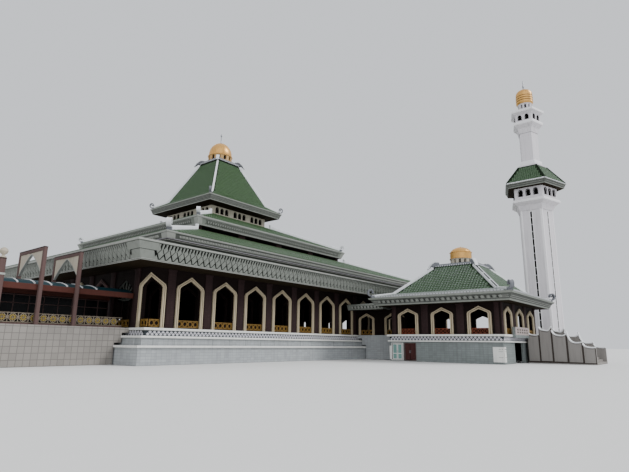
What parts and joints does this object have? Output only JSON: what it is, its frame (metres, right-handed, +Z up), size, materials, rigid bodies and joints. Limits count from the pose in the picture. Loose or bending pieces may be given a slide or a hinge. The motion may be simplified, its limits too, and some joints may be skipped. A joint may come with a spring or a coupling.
{
  "type": "mosque building, 1:10 scale model",
  "caption": "Mosque with a three-tiered tiled roof and gilt dome over an arched arcade, a square pavilion, a stair, a covered walkway and a five-sided minaret.",
  "frame": {"origin": "middle of the building's footprint on the lowest ground", "axes": "+Z up, +Y from the pavilion and stair side to the back of the hall, +X along the hall's front to the right"},
  "size_m": [11.0282, 12.7494, 5.4473],
  "materials": {
    "podium_stone": "painted render in light grey with white ledges and a diamond frieze",
    "arcade_wall": "dark red-brown wall tiles with lighter pilasters and cream arch frames",
    "inner_wall": "matt grey-brown render",
    "ceiling": "matt brown soffit boards",
    "fascia_grey": "grey cast panels with a pierced lattice",
    "roof_tile": "semi-gloss green roof tiles with white ridges",
    "white_render": "painted white render",
    "dome_gold": "satin gold cladding",
    "door_glass": "teal-tinted glazing in a white frame",
    "door_timber": "dark red-brown stained timber",
    "portal_brown": "matt mauve-brown paint with cream arch panels",
    "canopy_teal": "teal sheet with white ribs",
    "dark_glazing": "dark glass in thin frames",
    "railing_gold": "gold and white painted pattern railing"
  },
  "bodies": {
    "building": {"hall_podium": "podium_stone", "pavilion_podium": "podium_stone", "link_podium": "podium_stone", "stair_landing": "podium_stone", "stair_parapet_left": "podium_stone", "stair_parapet_right": "podium_stone", "stair_flight": "podium_stone", "walkway_base": "podium_stone", "arcade_front": "arcade_wall", "arcade_back": "arcade_wall", "arcade_left": "arcade_wall", "arcade_right": "arcade_wall", "pavilion_wall_front": "arcade_wall", "pavilion_wall_back": "arcade_wall", "pavilion_wall_left": "arcade_wall", "pavilion_wall_right": "arcade_wall", "link_wall_left": "arcade_wall", "link_wall_right": "arcade_wall", "hall_inner_walls": "inner_wall", "tier1_wall": "inner_wall", "tier2_wall": "inner_wall", "verandah_deck": "ceiling", "lattice_fascia": "fascia_grey", "tier3_crown": "fascia_grey", "pavilion_crown": "fascia_grey", "link_roof": "fascia_grey", "tier1_roof": "roof_tile", "tier2_roof": "roof_tile", "tier3_roof": "roof_tile", "pavilion_roof": "roof_tile", "minaret_roof": "roof_tile", "tier3_wall": "white_render", "hall_drum": "white_render", "pavilion_drum": "white_render", "minaret_shaft": "white_render", "minaret_gallery": "white_render", "minaret_upper_shaft": "white_render", "minaret_upper_gallery": "white_render", "minaret_drum": "white_render", "hall_dome": "dome_gold", "pavilion_dome": "dome_gold", "minaret_cap": "dome_gold", "walkway_portals": "portal_brown", "walkway_canopy": "canopy_teal", "walkway_glass": "dark_glazing", "walkway_fence": "railing_gold"},
    "glass_door_near": {"glass_door_near": "door_glass"},
    "glass_door_far": {"glass_door_far": "door_glass"},
    "timber_door_near": {"timber_door_near": "door_timber"},
    "timber_door_far": {"timber_door_far": "door_timber"}
  },
  "joints": [
    {"name": "glass_door_near_hinge", "type": "hinge", "parent": "building", "child": "glass_door_near", "pos_m": [-0.2632, -4.01798, 0.1339], "axis": [0, 0, 1], "range_deg": [0, 90]},
    {"name": "glass_door_far_hinge", "type": "hinge", "parent": "building", "child": "glass_door_far", "pos_m": [-0.2632, -3.86418, 0.1339], "axis": [0, 0, -1], "range_deg": [0, 90]},
    {"name": "timber_door_near_hinge", "type": "hinge", "parent": "building", "child": "timber_door_near", "pos_m": [-0.2632, -4.22598, 0.1339], "axis": [0, 0, 1], "range_deg": [0, 90]},
    {"name": "timber_door_far_hinge", "type": "hinge", "parent": "building", "child": "timber_door_far", "pos_m": [-0.2632, -4.07218, 0.1339], "axis": [0, 0, -1], "range_deg": [0, 90]}
  ]
}
